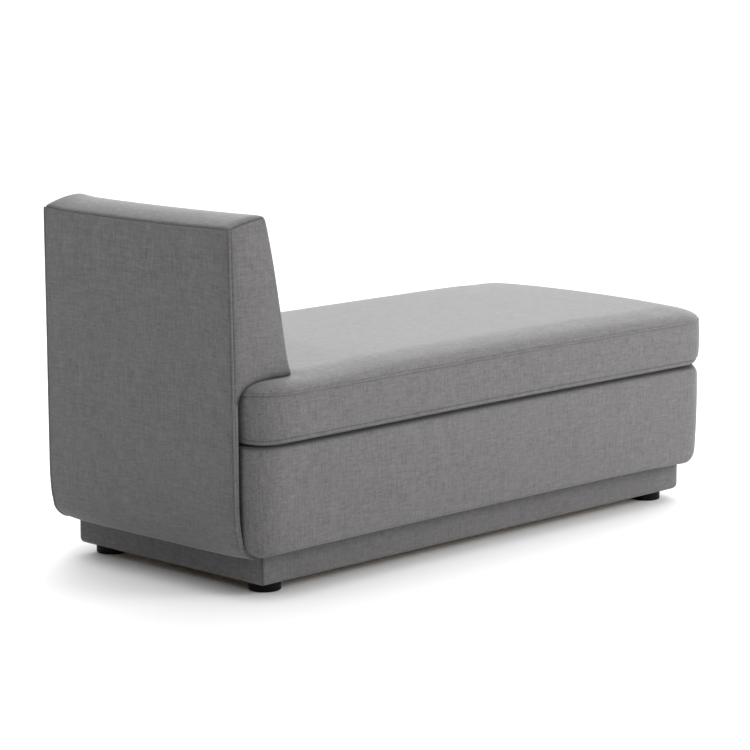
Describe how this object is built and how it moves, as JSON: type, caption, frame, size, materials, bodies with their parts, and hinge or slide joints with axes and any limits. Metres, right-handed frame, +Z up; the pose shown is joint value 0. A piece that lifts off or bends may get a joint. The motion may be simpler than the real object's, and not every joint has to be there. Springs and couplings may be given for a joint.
{
  "type": "chaise seat",
  "caption": "Single-ended upholstered chaise seat: long padded box on a recessed plinth with short round feet, a boxed seat cushion and a low wedge back at one end.",
  "frame": {"origin": "on the floor under the middle of the object's bounding box", "axes": "+Z up, the sitter faces -Y and the wedge back stands at +Y, +X is the sitter's left"},
  "size_m": [0.682, 1.4294, 0.7665],
  "materials": {
    "grey_cloth": "matt mid-grey melange weave",
    "foam": "cut upholstery foam",
    "plywood": "raw plywood and softwood",
    "webbing": "black elastic webbing",
    "deck_cloth": "black non-woven cloth",
    "black_plastic": "satin black moulding",
    "zinc_steel": "zinc-plated"
  },
  "bodies": {
    "root": {"foot_front_left": "black_plastic", "foot_front_right": "black_plastic", "foot_rear_left": "black_plastic", "foot_rear_right": "black_plastic", "foot_stud_front_left": "zinc_steel", "foot_stud_front_right": "zinc_steel", "foot_stud_rear_left": "zinc_steel", "foot_stud_rear_right": "zinc_steel", "plinth_block_front_left": "plywood", "plinth_block_front_right": "plywood", "plinth_block_rear_left": "plywood", "plinth_block_rear_right": "plywood", "plinth_front_board": "plywood", "plinth_rear_board": "plywood", "plinth_left_board": "plywood", "plinth_right_board": "plywood", "plinth_cover": "grey_cloth", "base_post_front_left": "plywood", "base_post_front_right": "plywood", "base_post_rear_left": "plywood", "base_post_rear_right": "plywood", "base_front_board": "plywood", "base_rear_board": "plywood", "base_left_board": "plywood", "base_right_board": "plywood", "base_front_cross_rail": "plywood", "base_rear_cross_rail": "plywood", "base_floor": "plywood", "base_left_pad": "foam", "base_right_pad": "foam", "base_front_pad": "foam", "base_rear_pad": "foam", "base_cover": "grey_cloth", "seat_strap_1": "webbing", "seat_strap_2": "webbing", "seat_strap_3": "webbing", "seat_strap_4": "webbing", "seat_strap_5": "webbing", "seat_strap_6": "webbing", "deck_cloth": "deck_cloth", "seat_foam": "foam", "seat_cover": "grey_cloth", "back_cover": "grey_cloth", "back_panel": "plywood", "back_left_upright": "plywood", "back_right_upright": "plywood", "back_top_rail": "plywood", "back_bottom_rail": "plywood", "back_strap_1": "webbing", "back_strap_2": "webbing", "back_strap_3": "webbing", "back_front_foam": "foam", "back_top_foam": "foam", "back_left_foam": "foam", "back_right_foam": "foam", "back_bolt_1": "zinc_steel", "back_bolt_2": "zinc_steel", "back_bolt_3": "zinc_steel", "back_bolt_4": "zinc_steel"}
  },
  "joints": []
}
